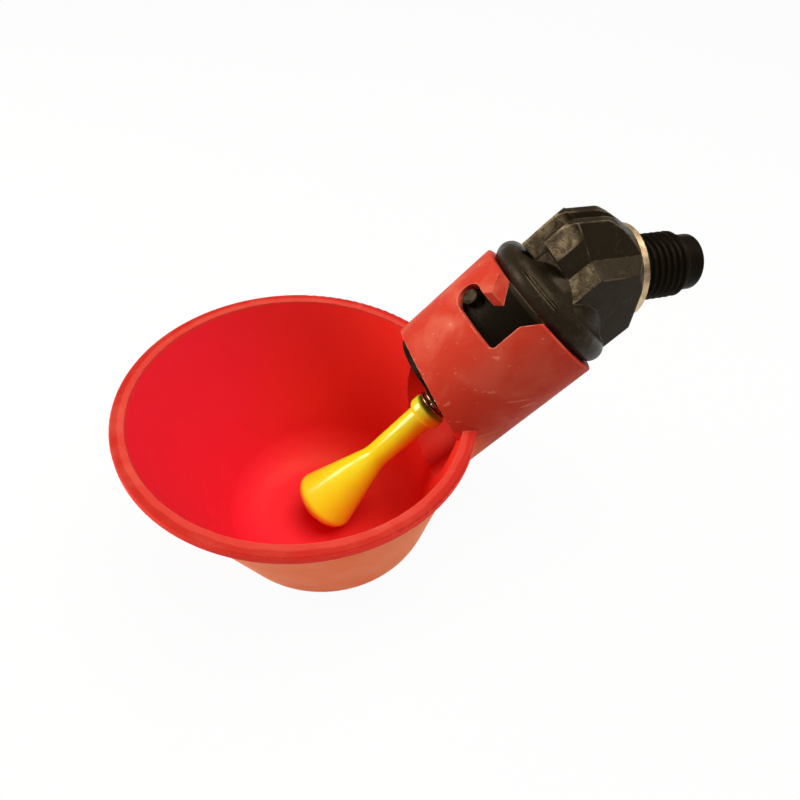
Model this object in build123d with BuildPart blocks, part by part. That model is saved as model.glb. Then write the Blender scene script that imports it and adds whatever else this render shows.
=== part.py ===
from build123d import *
from math import sin, cos, tan, radians, sqrt
import os

os.makedirs("parts", exist_ok=True)

# Poultry drinker: a cup that hangs from a threaded elbow, with a sprung trigger valve inside its socket.
# Millimetres. Origin on the supply thread's axis, in the plane where the washer seals.
# +X leaves along the thread, +Z is up, and the XZ plane halves the whole thing.

# ---- driving dimensions ----
# supply thread and its washer
thread_r = 7.0             # M14 x 1.5
thread_end_x = 12.5        # end of the threaded length
pilot_r = 5.9              # plain nose ahead of the thread
pilot_end_x = 16.3
pilot_round = 0.8
washer_r = 9.8
washer_t = 1.6
washer_gap = 0.06          # radial clearance on the thread
relief_depth = 0.5         # plain relief under the washer, below the thread
water_r = 3.5              # waterway through the stub and the bend

# elbow
socket_angle = 45.0        # socket axis above the horizontal
elbow_x = -9.74            # where the two axes meet
elbow_to_mouth = 10.6      # along the socket axis
head_flats = 20.0          # spanner head, across flats
head_keel = 10.9           # the head's flat underside, below the socket axis
neck_r_top = 9.8           # the neck's cone breaks through the head's facets
neck_out = 1.5             # the neck's foot, beyond the middle of the bead's section
neck_top = 1.6             # below the bend, along the socket axis
neck_fillet = 2.2
bead_over = 1.22           # the rolled bead reaches this far past the bore
bead_roll_r = 3.05         # radius of its section
bead_gap = 0.15            # bead to the mouth's inner edge
crest_in = 1.7             # the twin ribs' crests, either side of the middle
crest_out = 2.1
crest_h = 15.6             # height of the crests above the axes
shoulder_y = 4.9           # where each rib's outer flank steepens
shoulder_h = 12.3
rib_foot_y = 6.3           # where the outer flanks meet the head
groove_h = 11.8            # floor of the groove between the ribs
short_rib_foot = -3.3      # the near rib's slanting end along the socket axis, from the bend: at the axis
short_rib_crest = -0.9     # and at the crest
# side outline of the ribs: x and z of each corner
rib_outline = [(-23.6, 7.7), (-19.5, 12.2), (-17.4, 14.0), (-16.2, 14.5), (-9.3, 14.4), (-1.6, 12.0)]
# the head's front is turned away above the axis: x and radius of each corner
turned_off = [(-1.6, 10.1), (-3.8, 11.7), (-6.6, 13.5), (-10.0, 15.2)]
rib_sink = 2.0             # the ribs' blocks start this high, inside the head

# plug inside the socket
plug_fit = 0.08            # radial running clearance in the bore
plug_end = 25.6            # below the mouth, along the socket axis
plug_wall = 2.0
plug_roof = 3.0            # below the mouth
lug_r = 1.6
lug_from_mouth = 7.9
lug_gap = 0.35             # lug's end, below the socket's outer skin

# valve, on its own axis, a little steeper than the socket
valve_angle = 47.1
valve_drop = 1.03          # below the socket axis at the mouth
boss_r = 6.9
chamber_r = 4.5
chamber_top = 12.0         # below the mouth, along the valve axis
seat_flange_r = 6.4
seat_flange_t = 1.6
seat_len = 5.0             # pressed length above the flange
seat_press = 0.02          # radial interference in the chamber
seat_hole_r = 2.0          # at the seal; the hole widens downwards to let the pin tilt
seat_mouth_r = 2.6
seat_lip_r = 3.0
seat_lip_h = 0.6
seal_r = 3.5
seal_t = 1.5
pin_r = 1.1
pin_press = 0.02           # radial interference in the trigger
seal_grip = 0.02           # radial interference of the rubber on the pin
pin_head_r = 3.0
pin_head_t = 1.2
pin_in_trigger = 11.0
pin_tip_gap = 0.3
spring_r = 4.0             # outside radius
spring_wire = 0.75
spring_turns = 5.5

# trigger, distances along the valve axis
collar_top = 33.0          # below the mouth
collar_len = 3.2
collar_r = 4.18
collar_round = 1.3
collar_top_round = 0.6
stem_top_r = 3.2
stem_low_r = 3.0
cone_len = 17.8
cone_end_r = 7.95
cone_floor_gap = 0.5       # the cone's lower edge above the bowl's floor, before that edge is rounded
dome_rise = 3.9
dome_edge = 2.4            # rounding between cone and dome
flare_r = 12.0             # blend from the stem into the cone

# socket tube
mouth_r = 16.48            # outside, at the mouth
tube_wall = 2.2
tube_draft = 0.0111        # radius lost per mm towards the bowl
tube_len = 50.0            # inside the bowl's own wall by then
mouth_round = 0.4
cut_angle = 28.0           # the tube's end inside the bowl leans this far from upright
cut_along = 24.5           # the cut's top point, below the mouth

# bayonet slots, angles round the socket from its top line
slot_roof = 5.2            # hook's underside, below the mouth
slot_floor = 10.8
slot_neck_from = 27.0
slot_neck_to = 43.0
slot_mouth_to = 51.0
slot_neck_along = 3.6      # where the funnel meets the neck
hook_lean = 38.0           # the hook's leading face faces this far round the other way
hook_root = 10.6           # that face's distance from the socket axis at the mouth
hook_tip = 13.2            # and at the hook's tip
hook_inside = 6.0          # the leaning cut starts this far out
hook_blunt = 1.5           # taken off the hook's point, across it
slot_round = 1.2           # corners of the neck and funnel

# bowl, depths below its rim
rim_x = -69.33
rim_z = -23.67
lip_out = 1.0              # lip beyond the wall
lip_h = 2.1
lip_round = 0.5
wall_top_r = 36.5          # outside of the wall at the rim plane
wall = 1.85
bowl_depth = 43.2
floor_r = 22.6             # outside, before the corner is rounded
floor_shift = 6.9          # the floor's centre is this far nearer the socket
floor_t = 1.7
corner_round = 12.8

# ---- worked-out frames ----
up_s, out_s = sin(radians(socket_angle)), cos(radians(socket_angle))
mouth = Vector(elbow_x - elbow_to_mouth * out_s, 0, -elbow_to_mouth * up_s)
socket = Plane(origin=mouth, x_dir=(0, 1, 0), z_dir=(out_s, 0, up_s))     # z along the socket, away from the bowl
socket_side = Plane(origin=mouth, x_dir=socket.y_dir, z_dir=socket.x_dir)  # section through the socket: across, along
valve_at = mouth - Vector(-up_s, 0, out_s) * valve_drop
valve_z = Vector(cos(radians(valve_angle)), 0, sin(radians(valve_angle)))
valve = Plane(origin=valve_at, x_dir=(0, 1, 0), z_dir=valve_z)
rim = Plane(origin=(rim_x, 0, rim_z), x_dir=(1, 0, 0), z_dir=(0, 0, 1))
bore_r = mouth_r - tube_wall
plug_r = bore_r - plug_fit
bead_r = bore_r + bead_over
lip_r = wall_top_r + lip_out
reach = 200.0              # longer than anything it cuts
face_x = -washer_t


def across(angle):
    """Plane through the socket axis at the mouth, facing out at an angle round it from its top line."""
    turn = radians(angle)
    out = Vector(-up_s, 0, out_s) * cos(turn) - Vector(0, 1, 0) * sin(turn)
    return Plane(origin=mouth, x_dir=socket.z_dir.cross(out), z_dir=out)


def on_socket(along, over):
    """Point in the plane of symmetry, a distance up the socket axis from the mouth and a height over that axis."""
    return mouth + Vector(out_s, 0, up_s) * along + Vector(-up_s, 0, out_s) * over


def on_valve(dist):
    """Plane square to the valve axis, a distance below the mouth, facing down the valve."""
    return Plane(origin=valve_at - valve_z * dist, x_dir=(0, 1, 0), z_dir=-valve_z)


# ---- bowl ----
def bowl_radius(depth):
    return wall_top_r - (wall_top_r - floor_r) * depth / bowl_depth


def bowl_shift(depth):
    return floor_shift * depth / bowl_depth


inner_depth = bowl_depth - floor_t
with BuildPart() as bowl_outside:
    with BuildSketch(rim):
        Circle(wall_top_r)
    with BuildSketch(rim.offset(-bowl_depth)):
        with Locations((floor_shift, 0)):
            Circle(floor_r)
    loft(ruled=True)
    fillet(bowl_outside.faces().sort_by(Axis.Z)[0].edges(), corner_round)
    with BuildSketch(rim.offset(-lip_h)):
        Circle(lip_r)
    extrude(amount=lip_h)
    fillet(bowl_outside.edges().filter_by(GeomType.CIRCLE).filter_by(
        lambda e: abs(e.radius - lip_r) < lip_out / 10), lip_round)

# the cavity, carried on above the rim to clear the socket tube's end as well
with BuildPart() as bowl_inside:
    with BuildSketch(rim.offset(mouth_r)):
        with Locations((bowl_shift(-mouth_r), 0)):
            Circle(bowl_radius(-mouth_r) - wall)
    with BuildSketch(rim.offset(-inner_depth)):
        with Locations((bowl_shift(inner_depth), 0)):
            Circle(bowl_radius(inner_depth) - wall)
    loft(ruled=True)
    fillet(bowl_inside.faces().sort_by(Axis.Z)[0].edges(), corner_round - wall)

# everything past the socket tube's slanting end, on the bowl's side
cut_dir = Vector(sin(radians(cut_angle)), 0, -cos(radians(cut_angle)))
cut_top = on_socket(-cut_along, mouth_r)
cut_plane = Plane(origin=cut_top, x_dir=(0, 1, 0), z_dir=Vector(0, 1, 0).cross(cut_dir))

with BuildPart() as tube_clear:
    add(bowl_inside.part)
    split(bisect_by=cut_plane, keep=Keep.TOP)

with BuildPart() as socket_tube:
    with BuildSketch(socket_side):
        with BuildLine():
            Polyline((0, 0), (mouth_r, 0), (mouth_r - tube_draft * tube_len, -tube_len), (0, -tube_len), close=True)
        make_face()
    revolve(axis=Axis(mouth, socket.z_dir))
    fillet(socket_tube.faces().sort_by(Axis(mouth, socket.z_dir))[-1].edges(), mouth_round)
    add(tube_clear.part, mode=Mode.SUBTRACT)

# one bayonet slot: closed end over the lug, the channel round from it, and the funnel that lets the lug in
mid = (slot_neck_from + slot_neck_to) / 2


def spread(angle):
    return mouth_r * sin(radians(angle - mid))


with BuildPart() as slot_cutter:
    with BuildSketch(across(0)):
        with Locations((0, -lug_from_mouth)):
            Circle((slot_floor - slot_roof) / 2)
    extrude(amount=reach)
    with BuildSketch(socket_side):
        with Locations(((bore_r + mouth_r) / 2, -(slot_floor + slot_roof) / 2)):
            Rectangle(4 * tube_wall, slot_floor - slot_roof)
    revolve(axis=Axis(mouth, socket.z_dir), revolution_arc=mid)
    with BuildSketch(across(mid)) as funnel:
        with BuildLine():
            Polyline((spread(slot_neck_from), tube_wall), (spread(slot_neck_from), -slot_floor),
                     (spread(slot_neck_to), -slot_floor), (spread(slot_neck_to), -slot_neck_along),
                     (spread(slot_mouth_to), 0), (spread(slot_mouth_to), tube_wall), close=True)
        make_face()
        fillet(funnel.vertices().filter_by(lambda v: 0 < v.X < spread(slot_mouth_to) - tube_wall / 9), slot_round)
    extrude(amount=reach)
    # the hook's leading face leans back, so the lug slides under it
    with BuildSketch(across(-hook_lean).offset(hook_inside)) as hook_cut:
        with BuildLine():
            Polyline((hook_root, tube_wall), (hook_root, 0),
                     (hook_tip - (hook_tip - hook_root) * hook_blunt / slot_roof, hook_blunt - slot_roof),
                     (hook_tip - hook_blunt, -slot_roof), (hook_tip - hook_blunt, -lug_from_mouth),
                     (mouth_r + tube_wall, -lug_from_mouth), (mouth_r + tube_wall, tube_wall), close=True)
        make_face()
    extrude(amount=reach)

with BuildPart() as bowl:
    add(bowl_outside.part)
    add(bowl_inside.part, mode=Mode.SUBTRACT)
    add(socket_tube.part)
    with BuildSketch(socket.offset(tube_wall)):
        Circle(bore_r)
    extrude(amount=-tube_len - tube_wall, mode=Mode.SUBTRACT)
    add(slot_cutter.part, mode=Mode.SUBTRACT)
    add(slot_cutter.part.rotate(Axis(mouth, socket.z_dir), 180), mode=Mode.SUBTRACT)

bowl.part.label = "bowl"
export_step(bowl.part, "parts/bowl.step")

# ---- valve body: stub, spanner head, bead and plug in one moulding ----
bend = valve_at - valve_z * (valve_at.Z / valve_z.Z)      # where the valve axis meets the stub's
elbow = Vector(elbow_x, 0, 0)
mitre = Plane(origin=elbow, x_dir=(0, 1, 0), z_dir=(1 + out_s, 0, up_s))
thread_axis = Plane(origin=(0, 0, 0), x_dir=(0, 1, 0), z_dir=(1, 0, 0))
rib_foot_h = (head_flats - rib_foot_y) / sqrt(3)          # height of the head's facet under the ribs' feet
bead_up = sqrt(bead_roll_r ** 2 - (bore_r - bead_r + bead_roll_r) ** 2) + bead_gap   # bead's middle above the mouth
neck_h = elbow_to_mouth - neck_top
neck_r_low = bead_r - bead_roll_r + neck_out
keel_front_z = (face_x - elbow_x) * up_s / out_s - head_keel / out_s                 # keel's height at the front face
boss_end = plug_end - seat_flange_t


# sections square to an axis: outer flanks, crests and the groove between them; and the spanner head
crests = [(-crest_out, crest_h), (-crest_in, crest_h), (0, groove_h), (crest_in, crest_h), (crest_out, crest_h)]
feet = [(rib_foot_y, rib_foot_h), (rib_foot_y, 0), (-rib_foot_y, 0), (-rib_foot_y, rib_foot_h)]
front_ribs = crests + feet
rear_ribs = [(-shoulder_y, shoulder_h)] + crests + [(shoulder_y, shoulder_h)] + feet
corner = head_flats / 2 / cos(radians(30))
hexagon = [(corner * sin(radians(60 * n)), corner * cos(radians(60 * n))) for n in range(6)]


def arm(plane, amount, section, keep):
    """One arm of the bend: a section run along an axis and cut at the mitre."""
    with BuildPart() as piece:
        with BuildSketch(plane):
            Polygon(*section, align=None)
        extrude(amount=amount)
        split(bisect_by=mitre, keep=keep)
    return piece.part


with BuildPart() as ribs:
    with BuildSketch(Plane.XZ):
        Polygon(*rib_outline, (rib_outline[-1][0], rib_sink), (rib_outline[0][0] + rib_outline[0][1] - rib_sink,
                                                               rib_sink), align=None)
    extrude(amount=head_flats / 2, both=True)
    with BuildPart(mode=Mode.INTERSECT):
        add(arm(thread_axis, -reach, front_ribs, Keep.TOP))
        add(arm(socket, reach, rear_ribs, Keep.BOTTOM))
    with BuildSketch(Plane.XZ):
        Polygon(*[(p.X, p.Z) for p in (on_socket(elbow_to_mouth + short_rib_foot, 0), on_socket(-reach, 0),
                                       on_socket(-reach, crest_h),
                                       on_socket(elbow_to_mouth + short_rib_crest, crest_h))], align=None)
    extrude(amount=reach, mode=Mode.SUBTRACT)

with BuildPart() as valve_body:
    # neck, bead and the filled plug
    with BuildSketch(socket_side):
        with BuildLine():
            Polyline((0, neck_h), (neck_r_top, neck_h), (neck_r_low, bead_up), (plug_r, bead_up),
                     (plug_r, -plug_end), (0, -plug_end), close=True)
        make_face()
    revolve(axis=Axis(mouth, socket.z_dir))
    with BuildSketch(socket_side):
        with Locations((bead_r - bead_roll_r, bead_up)):
            Circle(bead_roll_r)
    revolve(axis=Axis(mouth, socket.z_dir))
    fillet(valve_body.edges().filter_by(GeomType.CIRCLE).filter_by(
        lambda e: bead_up < (e.arc_center - mouth).dot(socket.z_dir) < neck_h
        and neck_r_top < e.radius < bead_r - bead_roll_r), neck_fillet)
    add(arm(thread_axis.offset(face_x), -reach, hexagon, Keep.TOP))
    add(arm(socket.offset(bead_up), reach, hexagon, Keep.BOTTOM))
    add(ribs.part)
    # the head's straight sides and flat underside fill the inside of the bend
    with BuildSketch(Plane.XZ):
        Polygon(*[(p.X, p.Z) for p in (on_socket(bead_up, -head_keel), Vector(face_x, 0, keel_front_z),
                                       Vector(face_x, 0, 0), elbow, on_socket(bead_up, 0))], align=None)
    extrude(amount=head_flats / 2, both=True)
    with BuildSketch(Plane.XY):
        Polygon(*turned_off, (turned_off[-1][0], reach), (face_x, reach), align=None)
    revolve(axis=Axis.X, revolution_arc=180, mode=Mode.SUBTRACT)
    # plug hollowed from below, boss for the valve, bayonet lugs
    with BuildSketch(socket.offset(-plug_end)):
        Circle(plug_r - plug_wall)
    extrude(amount=plug_end - plug_roof, mode=Mode.SUBTRACT)
    with BuildSketch(on_valve(boss_end)):
        Circle(boss_r)
    extrude(amount=-boss_end)
    for side in (0, 180):
        with BuildSketch(across(side).offset(plug_r - plug_wall)):
            with Locations((0, -lug_from_mouth)):
                Circle(lug_r)
        extrude(amount=mouth_r - lug_gap - plug_r + plug_wall)
    # stub
    with BuildSketch(thread_axis.offset(face_x)):
        Circle(thread_r - relief_depth)
    extrude(amount=washer_t)
    with BuildSketch(thread_axis):
        Circle(thread_r)
    extrude(amount=thread_end_x)
    chamfer(valve_body.faces().sort_by(Axis.X)[-1].edges(), thread_r - pilot_r)
    with BuildSketch(thread_axis):
        Circle(pilot_r)
    extrude(amount=pilot_end_x)
    fillet(valve_body.faces().sort_by(Axis.X)[-1].edges(), pilot_round)
    # waterway
    with BuildSketch(thread_axis.offset(pilot_end_x)):
        Circle(water_r)
    extrude(amount=bend.X - pilot_end_x, mode=Mode.SUBTRACT)
    with Locations(bend):
        Sphere(water_r, mode=Mode.SUBTRACT)
    with BuildSketch(on_valve(boss_end)):
        Circle(water_r)
    extrude(amount=(bend - on_valve(boss_end).origin).length * -1, mode=Mode.SUBTRACT)
    with BuildSketch(on_valve(boss_end)):
        Circle(chamber_r)
    extrude(amount=chamber_top - boss_end, mode=Mode.SUBTRACT)

valve_body.part.label = "valve_body"
export_step(valve_body.part, "parts/valve_body.step")

# ---- sealing washer ----
with BuildPart() as sealing_washer:
    with BuildSketch(thread_axis.offset(face_x)):
        Circle(washer_r)
        Circle(thread_r + washer_gap, mode=Mode.SUBTRACT)
    extrude(amount=washer_t)

sealing_washer.part.label = "sealing_washer"
export_step(sealing_washer.part, "parts/sealing_washer.step")

# ---- valve parts, turned about the valve axis; sections drawn as radius and distance below the mouth ----
valve_side = Plane(origin=valve_at, x_dir=valve.x_dir, z_dir=valve.x_dir.cross(valve_z))
valve_line = Axis(valve_at, valve_z)


def turned(*points):
    """Solid of revolution about the valve axis from radius and distance pairs."""
    with BuildPart() as piece:
        with BuildSketch(valve_side):
            Polygon(*[(r, -dist) for r, dist in points], align=None)
        revolve(axis=valve_line)
    return piece.part


seat_r = chamber_r + seat_press
seat_top = boss_end - seat_len
lip_top = seat_top - seat_lip_h
with BuildPart() as valve_seat:
    add(turned((seat_hole_r, lip_top), (seat_lip_r, lip_top), (seat_lip_r, seat_top), (seat_r, seat_top),
               (seat_r, boss_end), (seat_flange_r, boss_end), (seat_flange_r, plug_end), (seat_mouth_r, plug_end)))

valve_seat.part.label = "valve_seat"
export_step(valve_seat.part, "parts/valve_seat.step")

seal_top = lip_top - seal_t
with BuildPart() as valve_seal:
    add(turned((pin_r - seal_grip, seal_top), (seal_r, seal_top), (seal_r, lip_top), (pin_r - seal_grip, lip_top)))

valve_seal.part.label = "valve_seal"
export_step(valve_seal.part, "parts/valve_seal.step")

pin_end = collar_top + pin_in_trigger
with BuildPart() as valve_pin:
    add(turned((0, seal_top - pin_head_t), (pin_head_r, seal_top - pin_head_t), (pin_head_r, seal_top),
               (pin_r, seal_top), (pin_r, pin_end), (0, pin_end)))

valve_pin.part.label = "valve_pin"
export_step(valve_pin.part, "parts/valve_pin.step")

coil_r = spring_r - spring_wire / 2
coil_len = collar_top - plug_end - spring_wire
with BuildPart() as return_spring:
    with BuildLine():
        coil = Helix(pitch=coil_len / spring_turns, height=coil_len, radius=coil_r,
                     center=on_valve(plug_end + spring_wire / 2).origin, direction=-valve_z)
    with BuildSketch(Plane(origin=coil @ 0, z_dir=coil % 0)):
        Circle(spring_wire / 2)
    sweep()

return_spring.part.label = "return_spring"
export_step(return_spring.part, "parts/return_spring.step")

floor_z = rim_z - inner_depth
collar_end = collar_top + collar_len
cone_end = (valve_at.Z - floor_z - cone_floor_gap - cone_end_r * valve_z.X) / valve_z.Z
stem_end = cone_end - cone_len
dome_tip = cone_end + dome_rise
with BuildPart() as trigger:
    add(turned((0, collar_top), (collar_r, collar_top), (collar_r, collar_end), (0, collar_end)))
    fillet(trigger.faces().sort_by(valve_line)[-1].edges(), collar_top_round)
    fillet(trigger.faces().sort_by(valve_line)[0].edges(), collar_round)
    add(turned((0, (collar_top + collar_end) / 2), (stem_top_r, (collar_top + collar_end) / 2), (stem_low_r, stem_end),
               (cone_end_r, cone_end), (0, cone_end)))
    dome_r = (cone_end_r ** 2 + dome_rise ** 2) / (2 * dome_rise)
    with BuildSketch(valve_side):
        with BuildLine():
            Line((0, -cone_end), (cone_end_r, -cone_end))
            RadiusArc((cone_end_r, -cone_end), (0, -dome_tip), dome_r)
            Line((0, -dome_tip), (0, -cone_end))
        make_face()
    revolve(axis=valve_line)
    for radius, rounding in ((cone_end_r, dome_edge), (stem_low_r, flare_r)):
        fillet(trigger.edges().filter_by(GeomType.CIRCLE).filter_by(
            lambda e: abs(e.radius - radius) < pin_press), rounding)
    with BuildSketch(on_valve(collar_top)):
        Circle(pin_r - pin_press)
    extrude(amount=pin_in_trigger + pin_tip_gap, mode=Mode.SUBTRACT)

trigger.part.label = "trigger"
export_step(trigger.part, "parts/trigger.step")
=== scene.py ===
import math

import bmesh
import bpy
from mathutils import Matrix, Vector


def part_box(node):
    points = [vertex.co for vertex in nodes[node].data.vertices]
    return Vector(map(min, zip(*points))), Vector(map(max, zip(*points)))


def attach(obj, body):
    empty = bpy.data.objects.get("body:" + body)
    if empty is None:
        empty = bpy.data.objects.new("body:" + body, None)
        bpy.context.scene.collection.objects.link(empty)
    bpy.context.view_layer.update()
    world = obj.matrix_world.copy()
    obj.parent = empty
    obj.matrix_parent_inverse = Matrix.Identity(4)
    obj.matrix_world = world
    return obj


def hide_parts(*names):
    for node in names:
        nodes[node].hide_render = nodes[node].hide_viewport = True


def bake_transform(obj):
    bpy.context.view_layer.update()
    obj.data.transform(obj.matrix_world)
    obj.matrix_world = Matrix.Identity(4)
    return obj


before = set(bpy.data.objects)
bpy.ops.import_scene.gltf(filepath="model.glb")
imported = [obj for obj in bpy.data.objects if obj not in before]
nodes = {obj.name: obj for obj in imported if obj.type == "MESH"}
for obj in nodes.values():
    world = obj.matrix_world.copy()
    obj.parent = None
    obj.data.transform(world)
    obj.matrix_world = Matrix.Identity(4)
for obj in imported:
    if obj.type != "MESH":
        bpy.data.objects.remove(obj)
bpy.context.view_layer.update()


# ---- bowl ----
# The red drinking bowl with its slanting socket tube, one injection moulding in soft polypropylene.
# Inside it keeps the mould's gloss. Outside it is dusty and chalked, with painted top light on what faces
# up, is painted paler below the rim as light from the floor, and every cut edge is rubbed pale.
MM = 0.001


def shade(tree, kind, inputs=None, **settings):
    """Add a shader node, set its properties, and feed its inputs from numbers or other nodes' sockets."""
    n = tree.nodes.new("ShaderNode" + kind)
    for key, value in settings.items():
        setattr(n, key, value)
    for key, value in (inputs or {}).items():
        if isinstance(value, bpy.types.NodeSocket):
            tree.links.new(value, n.inputs[key])
        else:
            n.inputs[key].default_value = value
    return n


def material(name, **constants):
    """A principled material: itself, its node tree, its shader, and its texture coordinates in metres."""
    m = bpy.data.materials.new(name)
    m.use_nodes = True
    b = m.node_tree.nodes["Principled BSDF"]
    for key, value in constants.items():
        b.inputs[key.replace("_", " ")].default_value = value
    return m, m.node_tree, b, shade(m.node_tree, "TexCoord")


def finish(mesh, coat):
    """Put a material on a mesh in place of its own."""
    mesh.materials.clear()
    mesh.materials.append(coat)


def maths(tree, operation, *values):
    return shade(tree, "Math", dict(enumerate(values)), operation=operation).outputs[0]


def times(tree, product, *factors):
    """Multiply numbers and sockets together."""
    for factor in factors:
        product = maths(tree, "MULTIPLY", product, factor)
    return product


def plus(tree, a, b):
    return maths(tree, "ADD", a, b)


def component(tree, vector, axis):
    return shade(tree, "SeparateXYZ", {0: vector}).outputs[axis]


def dot(tree, a, b):
    """How far one vector reaches along another."""
    return shade(tree, "VectorMath", {0: a, 1: b}, operation="DOT_PRODUCT").outputs["Value"]


def between(tree, value, low, high, to_low=0.0, to_high=1.0):
    """Map a value smoothly from one range to another, and hold it at the ends."""
    ends = {"Value": value, "From Min": low, "From Max": high, "To Min": to_low, "To Max": to_high}
    return shade(tree, "MapRange", ends, interpolation_type="SMOOTHSTEP").outputs["Result"]


def noise(tree, vector, feature, detail=3.0, stretch=(1, 1, 1), distortion=0.0):
    """Noise whose marks are about as long as the feature. A small stretch draws them out on that axis."""
    scaled = shade(tree, "VectorMath", {0: vector, 1: stretch}, operation="MULTIPLY").outputs[0]
    marks = {"Vector": scaled, "Scale": 1 / feature, "Detail": detail, "Distortion": distortion}
    return shade(tree, "TexNoise", marks).outputs["Fac"]


def blended(tree, share, a, b):
    """Mix two colours, each a colour or another node's socket, by the share of the second."""
    colours = [c if isinstance(c, bpy.types.NodeSocket) else (*c, 1) for c in (a, b)]
    return shade(tree, "Mix", {0: share, 6: colours[0], 7: colours[1]}, data_type="RGBA").outputs[2]


def bumped(tree, height, strength, distance, normal=None):
    """The normal of a surface with fine relief on it, over another normal where one is given."""
    inputs = {"Height": height, "Strength": strength, "Distance": distance}
    if normal:
        inputs["Normal"] = normal
    return shade(tree, "Bump", inputs).outputs["Normal"]


def rounded(tree, radius):
    """The normal of edges rounded to a radius, and how strongly a point lies on such an edge."""
    soft = shade(tree, "Bevel", {"Radius": radius}, samples=8).outputs["Normal"]
    flat = shade(tree, "NewGeometry").outputs["Normal"]
    return soft, between(tree, dot(tree, soft, flat), 0.995, 0.93)


low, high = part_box("bowl")
rim_r = (high.y - low.y) / 2
rim_x = low.x + rim_r                                      # where the bowl's upright axis stands
rim_z = -23.67 * MM
lip_width = 3.3 * MM                                       # across the lip's flat top
lip_depth = 3.1 * MM                                       # down its outer face
lip_band = 1.15 * MM                                       # how far a darker outer band reaches in over it
lip_wander = 0.8 * MM                                      # how much the edge of that band strays
warm_at = 38 * MM                                          # past the axis, where the painted light leaves the inside all warm red

crimson = (0.78, 0.014, 0.034)
warm_red = (0.78, 0.024, 0.017)
lip_top_painted_sheen = (0.58, 0.042, 0.031)
lip_side = (0.47, 0.019, 0.014)
lip_face_painted_lit = (0.92, 0.036, 0.024)
outside_red = (0.50, 0.038, 0.020)
painted_floor_light_orange = (0.95, 0.155, 0.040)
chalk_and_painted_top_light = (0.84, 0.34, 0.22)

red, t, b, place = material("red_moulding", Subsurface_Weight=0.06, Subsurface_Scale=1.0,
                            Sheen_Roughness=0.4)
b.inputs["Subsurface Radius"].default_value = (1.6 * MM, 0.3 * MM, 0.2 * MM)
b.inputs["Sheen Tint"].default_value = (1.0, 0.62, 0.34, 1)
b.inputs["Specular Tint"].default_value = (1.0, 0.70, 0.42, 1)

# Where a point lies: its distance from the bowl's axis, its height, and which way its surface faces.
here = place.outputs["Object"]
facing_way = place.outputs["Normal"]
from_axis = shade(t, "VectorMath", {0: here, 1: (-rim_x, 0, 0)}, operation="ADD").outputs[0]
level = shade(t, "VectorMath", {0: from_axis, 1: (1, 1, 0)}, operation="MULTIPLY").outputs[0]
outward = shade(t, "VectorMath", {0: level}, operation="NORMALIZE").outputs[0]
from_middle = shade(t, "VectorMath", {0: level}, operation="LENGTH").outputs["Value"]
facing_out = dot(t, outward, facing_way)
height = component(t, here, "Z")

above_rim = between(t, height, rim_z - 0.9 * MM, rim_z - 0.1 * MM)
outside = maths(t, "MAXIMUM", between(t, facing_out, 0.1, 0.5), above_rim)
lip = times(t, between(t, from_middle, rim_r + 0.5 * MM, rim_r + 0.1 * MM),
            between(t, from_middle, rim_r - lip_width - 0.4 * MM, rim_r - lip_width + 0.4 * MM),
            between(t, height, rim_z - lip_depth - 0.3 * MM, rim_z - lip_depth + 0.3 * MM),
            between(t, height, rim_z + 0.6 * MM, rim_z + 0.2 * MM))
below_rim = times(t, between(t, height, rim_z - 1.5 * MM, rim_z - 5 * MM),
                  between(t, from_middle, rim_r + 6 * MM, rim_r - 4 * MM))

# Colours of the moulding, with light painted in: crimson to a warmer red inside, a lip in three tones, red
# and pale orange outside.
# Painted light: the inside turns from crimson to a warmer red across the bowl, as the light tints each
# side.
painted_light_tint_across = plus(t, component(t, here, "X"), times(t, noise(t, here, 30 * MM, 1.0), 30 * MM))
inner = blended(t, between(t, painted_light_tint_across, rim_x, rim_x + warm_at), crimson, warm_red)
wavy = plus(t, from_middle, times(t, noise(t, here, 5 * MM, 4.0), lip_wander))
outer_band = between(t, wavy, rim_r - lip_band - 0.25 * MM, rim_r - lip_band + 0.25 * MM)
# The lip's top is painted paler inside its outer band, as painted sheen of the light from above.
brim = blended(t, outer_band, lip_top_painted_sheen, lip_side)
# Its outward face is painted brighter, as painted light making up for the shade it stands in.
brim = blended(t, between(t, facing_out, 0.6, 0.9), brim, lip_face_painted_lit)
# Below the rim the outside is painted pale orange, as painted light from the white floor beneath; the tube
# and the band under the lip keep the darker red.
outer = blended(t, below_rim, outside_red, painted_floor_light_orange)
skin = blended(t, outside, inner, blended(t, lip, outer, brim))

# Wear and painted light: dust on what faces up, laid on thicker the more it faces up as painted top light,
# fine scratches, and chalky rubbed edges, all weaker on the lip.
edge_normal, edge = rounded(t, 0.35 * MM)
dust = between(t, noise(t, here, 9 * MM, 5.0, distortion=0.6), 0.42, 0.75)
dust_and_painted_top_light = times(t, dust, between(t, component(t, facing_way, "Z"), 0.35, 0.95, 0.12, 0.42))
scratched = times(t, between(t, noise(t, here, 1.1 * MM, 2.0, stretch=(0.06, 1.0, 0.8)), 0.66, 0.72), 0.25)
wear_and_painted_top_light = times(t, outside, between(t, lip, 0.0, 1.0, 1.0, 0.2), plus(t, dust_and_painted_top_light, scratched))
chipped = times(t, edge, between(t, lip, 0.0, 1.0, 1.0, 0.3),
                between(t, noise(t, here, 2.2 * MM, 3.0), 0.35, 0.6, 0.1, 0.65))
rubbed_and_painted_top_light = maths(t, "MAXIMUM", wear_and_painted_top_light, chipped)
t.links.new(blended(t, rubbed_and_painted_top_light, skin, chalk_and_painted_top_light), b.inputs["Base Color"])

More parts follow.
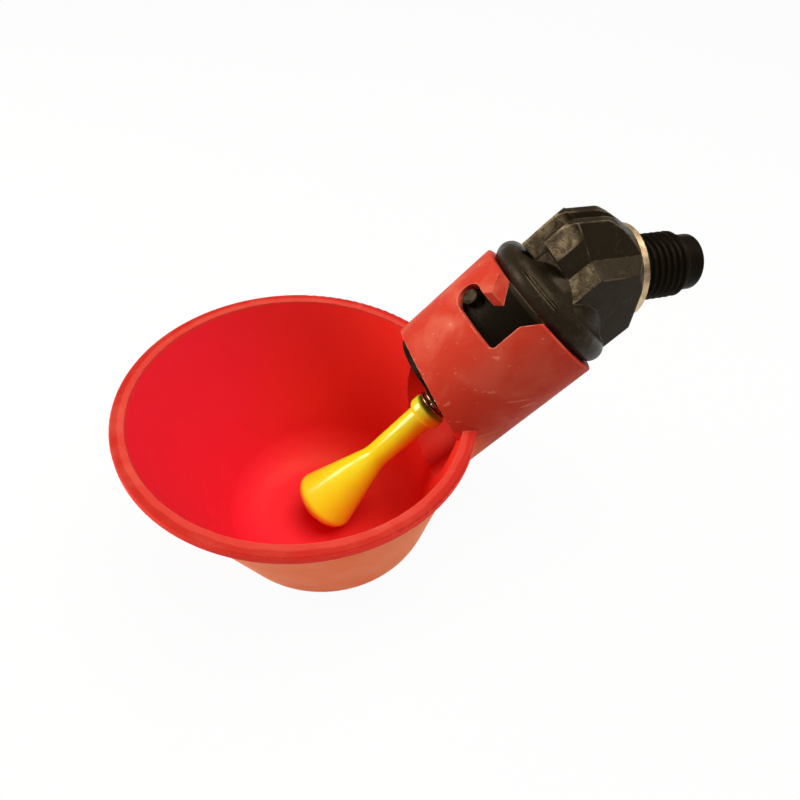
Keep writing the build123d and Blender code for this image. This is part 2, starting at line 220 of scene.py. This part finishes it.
grain = plus(t, times(t, noise(t, here, 0.35 * MM, 2.0), 0.5),
             times(t, noise(t, here, 3.5 * MM, 2.0), 0.9))
t.links.new(bumped(t, grain, 0.35, 0.08 * MM, edge_normal), b.inputs["Normal"])
t.links.new(between(t, noise(t, here, 6 * MM), 0.3, 0.7, 0.50, 0.62), b.inputs["Roughness"])
t.links.new(between(t, outside, 0.0, 1.0, 0.25, 0.10), b.inputs["Specular IOR Level"])
t.links.new(times(t, outside, below_rim, 0.36), b.inputs["Sheen Weight"])
finish(nodes["bowl"].data, red)


# ---- valve body ----
# The black elbow, one moulding of filled nylon: threaded stub, spanner head with twin ribs, bead and plug.
# Its plug holds the bowl by two lugs. The screw thread, the flash lines and the plug's thin end rim are
# made here, on a copy of the plain solid.
def wrap(mesh, rings):
    """Join closed rings of points, each to the next, with smooth faces."""
    for here, there in zip(rings, rings[1:]):
        for j in range(len(here)):
            k = (j + 1) % len(here)
            mesh.faces.new((here[j], here[k], there[k], there[j])).smooth = True


def helical_thread(mesh, start, end, pitch, crest, root, chamfer, around=112, rows_per_pitch=9):
    """Add the skin of an external thread along +X, faded out at the start and turned down at the end."""
    flank_slope = 2.7                                      # how steeply the groove falls, per pitch
    crest_flat = 0.10                                      # what stays level at each crest
    fade_length = 0.5 * pitch
    rows = round((end - start) / pitch * rows_per_pitch)
    rings = []
    for i in range(rows + 1):
        x = start + (end - start) * i / rows
        fade = min(1.0, (x - start) / fade_length)
        ring = []
        for j in range(around):
            angle = 2 * math.pi * j / around
            from_crest = 0.5 - abs((x / pitch - j / around) % 1.0 - 0.5)
            groove = min(1.0, max(0.0, from_crest * flank_slope - crest_flat))
            r = crest - (crest - root) * groove * fade
            r = min(r, crest - max(0.0, x - (end - chamfer)))
            ring.append(mesh.verts.new((x, r * math.cos(angle), r * math.sin(angle))))
        rings.append(ring)
    wrap(mesh, rings)


def flash_line(mesh, radius, height, start, end, thickness, steps=48, sides=6):
    """Add a fine raised line round the socket's axis, from one angle to another, thinner at both ends."""
    thinnest = 0.01 * MM
    rings = []
    for i in range(steps + 1):
        turn = math.radians(start + (end - start) * i / steps)
        out = over * math.cos(turn) + Vector((0, -math.sin(turn), 0))
        middle = bend + along * height + out * radius
        fat = thickness * math.sin(math.pi * i / steps) ** 0.5 + thinnest
        rings.append([mesh.verts.new(middle + out * fat * math.cos(2 * math.pi * k / sides)
                                     + along * fat * math.sin(2 * math.pi * k / sides))
                      for k in range(sides)])
    wrap(mesh, rings)


over = Vector((-math.sqrt(0.5), 0, math.sqrt(0.5)))        # square to the socket's axis, upwards
along = Vector((math.sqrt(0.5), 0, math.sqrt(0.5)))        # up the socket, away from the bowl
bend = Vector((-9.74 * MM, 0, 0))                          # where the socket's axis meets the stub's
touch = 0.02 * MM                                          # how near a point counts as on the thread's skin
head_face = 0.05 * MM                                      # faces nearer than this belong to the head
thread_from = 0.0
thread_to = 12.5 * MM
thread_crest = 7.0 * MM
thread_root = 6.15 * MM
thread_pitch = 1.5 * MM
thread_chamfer = 1.1 * MM
plug_top = -11.5 * MM                                      # under the bead, along the socket from the bend
plug_end = -36.15 * MM                                     # just above its end ring
plug_rim = 0.95 * MM                                       # thin rim that shows below the socket's cut
lug_middle = -18.5 * MM
lug_r = 1.95 * MM
lug_end = 22.75 * MM                                       # along over, from the origin

work = bmesh.new()
work.from_mesh(nodes["valve_body"].data)
plain = [f for f in work.faces
         if all(thread_from - touch < v.co.x < thread_to + touch
                and math.hypot(v.co.y, v.co.z) > thread_crest - thread_chamfer - touch for v in f.verts)
         and f.calc_center_median().x > head_face]
bmesh.ops.delete(work, geom=plain, context="FACES")
for v in work.verts:
    if (v.co - bend).dot(along) < plug_end:
        v.co -= along * plug_rim
helical_thread(work, thread_from, thread_to, thread_pitch, thread_crest, thread_root, thread_chamfer)
flash_line(work, radius=15.36 * MM, height=-7.15 * MM, start=12, end=54, thickness=0.16 * MM)
flash_line(work, radius=15.20 * MM, height=-6.55 * MM, start=20, end=50, thickness=0.13 * MM)
body_mesh = bpy.data.meshes.new("elbow_with_thread")
work.to_mesh(body_mesh)
work.free()
elbow = bpy.data.objects.new("elbow_with_thread", body_mesh)
bpy.context.scene.collection.objects.link(elbow)
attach(elbow, "elbow")
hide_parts("valve_body")

dark = (0.018, 0.0130, 0.0073)
deep = (0.0045, 0.0035, 0.0022)
scuffed = (0.060, 0.047, 0.029)
dust_and_highlight = (0.26, 0.200, 0.120)

black, t, b, place = material("black_moulding")
b.inputs["Specular Tint"].default_value = (1.0, 0.80, 0.58, 1)

# Where a point lies along the socket and over it, and which way its surface faces.
here = place.outputs["Object"]
facing_way = place.outputs["Normal"]
way = plus(t, dot(t, here, along), -bend.dot(along))
tilt = dot(t, facing_way, over)
lengthwise = maths(t, "ABSOLUTE", dot(t, facing_way, along))

# The crinkled facets on the back of the head, painted pale as the highlight where they face the light from
# behind and above. On its far side the steeper ones are painted pale too.
far_side = between(t, component(t, here, "Y"), -0.5 * MM, 0.3 * MM)
upward = maths(t, "MAXIMUM", between(t, tilt, 0.35, 0.6), times(t, far_side, between(t, tilt, 0.31, 0.4)))
rear = times(t, upward, between(t, way, -6.5 * MM, -5.5 * MM), between(t, way, 5.5 * MM, 3.5 * MM),
             between(t, lengthwise, 0.3, 0.12))
folds = maths(t, "ABSOLUTE", plus(t, noise(t, here, 2.4 * MM, 5.0, distortion=0.5), -0.5))
crinkle = times(t, between(t, folds, 0.004, 0.045),
                between(t, noise(t, here, 1.6 * MM, 3.0), 0.3, 0.7, 0.45, 1.0))

# The plug, sunk in the socket, is painted near black as painted shade; the thread is painted near black
# too. The lug's tip is paler, worn and with a painted highlight.
plug_and_thread_darkened = maths(t, "MAXIMUM", between(t, way, plug_top + 0.3 * MM, plug_top - 0.3 * MM),
              between(t, component(t, here, "X"), 0.2 * MM, 0.5 * MM))
from_lug = maths(t, "ABSOLUTE", plus(t, way, -lug_middle))
lug_tip = times(t, between(t, dot(t, here, over), lug_end - 0.15 * MM, lug_end + 0.15 * MM),
                between(t, from_lug, lug_r + 0.15 * MM, lug_r - 0.15 * MM))

flow = noise(t, here, 5 * MM, 4.0, distortion=1.2)
fine = noise(t, here, 0.4 * MM, 2.0)
scuff = between(t, noise(t, here, 1.4 * MM, 4.0, stretch=(1.0, 0.35, 1.0), distortion=0.8), 0.56, 0.72)
edge_normal, edge = rounded(t, 0.55 * MM)
tone = blended(t, times(t, scuff, 0.35), dark, scuffed)
painted_facet_highlight = times(t, rear, between(t, crinkle, 0.0, 1.0, 0.45, 1.0), between(t, flow, 0.4, 0.62, 0.3, 0.95))
tone = blended(t, painted_facet_highlight, tone, dust_and_highlight)
tone = blended(t, times(t, edge, between(t, flow, 0.4, 0.6, 0.05, 0.55)), tone, dust_and_highlight)
tone = blended(t, times(t, plug_and_thread_darkened, 0.85), tone, deep)
# The lug's tip is painted paler: worn, and painted with the highlight it catches from above.
tone = blended(t, times(t, lug_tip, between(t, crinkle, 0.0, 1.0, 0.02, 0.2)), tone, dust_and_highlight)
t.links.new(tone, b.inputs["Base Color"])

relief = plus(t, times(t, crinkle, plus(t, times(t, rear, 0.9), 0.05)),
              plus(t, times(t, flow, 0.8), times(t, fine, 0.12)))
t.links.new(bumped(t, relief, 0.7, 0.22 * MM, edge_normal), b.inputs["Normal"])
t.links.new(between(t, flow, 0.35, 0.65, 0.28, 0.46), b.inputs["Roughness"])
gloss = plus(t, between(t, plug_and_thread_darkened, 0.0, 1.0, 0.12, 0.04), times(t, rear, 0.15))
t.links.new(gloss, b.inputs["Specular IOR Level"])
finish(body_mesh, black)

# ---- sealing washer ----
# A flat washer of plated brass on the stub, against the head's face.
# It was cut on a lathe, so its face and rim carry fine turning marks.
pale_brass = (0.70, 0.54, 0.33)
dull_brass = (0.40, 0.28, 0.15)

pale, t, b, place = material("plated_brass", Metallic=0.85)
here = place.outputs["Object"]
turning = noise(t, here, 0.5 * MM, 3.0, stretch=(1.0, 0.3, 0.3))
patina = between(t, noise(t, here, 4 * MM, 4.0, distortion=0.7), 0.35, 0.7)
edge_normal, edge = rounded(t, 0.25 * MM)
t.links.new(blended(t, patina, pale_brass, dull_brass), b.inputs["Base Color"])
t.links.new(between(t, turning, 0.3, 0.7, 0.26, 0.48), b.inputs["Roughness"])
t.links.new(bumped(t, turning, 0.4, 0.06 * MM, edge_normal), b.inputs["Normal"])
finish(nodes["sealing_washer"].data, pale)

# ---- valve seat ----
# The insert that is pressed into the plug's end from below, in the same black nylon as the elbow.
# The valve closes on its raised lip, and its hole widens downwards so that the pin can tilt.
finish(nodes["valve_seat"].data, black)

# ---- valve seal ----
# A soft black rubber disc under the pin's head.
# It lies flat on the seat and shuts the water off until the trigger is nudged.
rubber_black = (0.010, 0.010, 0.010)
rubber_grey = (0.022, 0.020, 0.018)

rubber, t, b, place = material("seal_rubber", Roughness=0.65)
matte = noise(t, place.outputs["Object"], 0.6 * MM, 3.0)
t.links.new(blended(t, matte, rubber_black, rubber_grey), b.inputs["Base Color"])
t.links.new(bumped(t, matte, 0.3, 0.05 * MM), b.inputs["Normal"])
finish(nodes["valve_seal"].data, rubber)

# ---- valve pin and return spring ----
# The headed pin and the coiled wire spring over the trigger's collar, both of stainless steel.
# The spring's top coil rests on the seat, and its lowest one on the collar.
coil = nodes["return_spring"].data.copy()
spring = bpy.data.objects.new("spring_between_seat_and_collar", coil)
bpy.context.scene.collection.objects.link(spring)
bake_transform(spring)
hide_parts("return_spring")

# The steel is tinted gold as painted reflection of the yellow trigger, mixed with brown by noise.
steel_painted_gold_reflection = (0.40, 0.29, 0.16)
steel_brown = (0.12, 0.08, 0.05)

steel, t, b, place = material("spring_steel", Metallic=1.0)
drawn = noise(t, place.outputs["Object"], 1.0 * MM, 3.0)
t.links.new(blended(t, between(t, drawn, 0.4, 0.7), steel_painted_gold_reflection, steel_brown), b.inputs["Base Color"])
t.links.new(between(t, drawn, 0.3, 0.7, 0.18, 0.34), b.inputs["Roughness"])
for mesh in (coil, nodes["valve_pin"].data):
    finish(mesh, steel)

# ---- trigger ----
# The yellow trigger that the bird nudges, one solid moulding of glossy acetal, a little translucent.
# The pin is pressed into its collar, and its cone hangs just over the bowl's floor.
lemon = (0.90, 0.95, 0.012)
pale_lemon = (0.91, 0.98, 0.026)

yellow, t, b, place = material("yellow_moulding", Subsurface_Weight=0.2, Subsurface_Scale=1.0, IOR=1.48,
                               Coat_Weight=0.3, Coat_Roughness=0.12)
b.inputs["Subsurface Radius"].default_value = (1.4 * MM, 1.35 * MM, 0.15 * MM)
here = place.outputs["Object"]
cloud = between(t, noise(t, here, 12 * MM, 3.0, distortion=0.5), 0.35, 0.65)
t.links.new(blended(t, cloud, lemon, pale_lemon), b.inputs["Base Color"])
t.links.new(bumped(t, noise(t, here, 2.5 * MM, 2.0), 0.25, 0.05 * MM), b.inputs["Normal"])
t.links.new(between(t, noise(t, here, 5 * MM, 3.0), 0.35, 0.65, 0.17, 0.27), b.inputs["Roughness"])
finish(nodes["trigger"].data, yellow)

# ---- floor ----
# White studio paper, level with the bowl's underside.
# It looks overexposed to the lens and in reflections, and is an ordinary white sheet to everything else.
sheet_size = 4
overexposed = 0.96
bpy.ops.mesh.primitive_plane_add(size=sheet_size, location=(-0.07, 0, low.z))
floor = bpy.context.object
floor.name = "floor"
paper, t, b, place = material("paper", Roughness=0.9)
b.inputs["Base Color"].default_value = (0.75, 0.75, 0.75, 1)
path = shade(t, "LightPath")
seen = maths(t, "MAXIMUM", path.outputs["Is Camera Ray"], path.outputs["Is Glossy Ray"])
seen = maths(t, "MAXIMUM", seen, path.outputs["Is Transmission Ray"])
glow = shade(t, "Emission", {"Color": (1, 1, 1, 1), "Strength": 1.0})
both = shade(t, "MixShader", {0: times(t, seen, overexposed), 1: b.outputs[0], 2: glow.outputs[0]})
t.links.new(both.outputs[0], t.nodes["Material Output"].inputs["Surface"])
finish(floor.data, paper)

# ---- light ----
# Even, slightly warm surroundings, one large soft lamp over the bowl, and a weaker one from the left
# that draws the long gleam on the trigger.
scene = bpy.context.scene
world = bpy.data.worlds.new("studio")
world.use_nodes = True
background = world.node_tree.nodes["Background"]
background.inputs["Color"].default_value = (1.0, 0.96, 0.90, 1)
background.inputs["Strength"].default_value = 0.22
scene.world = world
lamps_aim = Vector((-0.05, 0, -0.03))


def softbox(name, at, size, watts, colour):
    """Hang a round soft lamp, turned to the drinker."""
    light = bpy.data.lights.new(name, "AREA")
    light.shape = "DISK"
    light.size = size
    light.energy = watts
    light.color = colour
    lamp = bpy.data.objects.new(name, light)
    lamp.location = at
    lamp.rotation_euler = (lamps_aim - Vector(at)).to_track_quat("-Z", "Y").to_euler()
    scene.collection.objects.link(lamp)


softbox("key", (0.05, -0.03, 0.45), size=0.42, watts=2.7, colour=(1.0, 0.94, 0.85))
softbox("gleam", (-0.39, 0.16, 0.11), size=0.24, watts=1.3, colour=(1.0, 0.95, 0.88))

# ---- camera ----
# The photograph's place and angle, worked out from the bowl's rim, the socket's axis and the stub.
# The picture's right, its downward side and the line of sight are given as the camera's three axes.
cam = bpy.data.cameras.new("camera")
cam.lens = 31.5
cam.sensor_width = 36
cam.clip_start = 0.005
camera = bpy.data.objects.new("camera", cam)
camera_at = Vector((-0.086797, -0.102186, 0.081292))
right = Vector((0.95229, -0.29672, 0.07137))
down = Vector((-0.16239, -0.69066, -0.70471))
forward = Vector((0.25840, 0.65950, -0.70589))
camera.matrix_world = Matrix.Translation(camera_at) @ Matrix((right, -down, -forward)).transposed().to_4x4()
scene.collection.objects.link(camera)
scene.camera = camera
scene.view_settings.view_transform = "Standard"
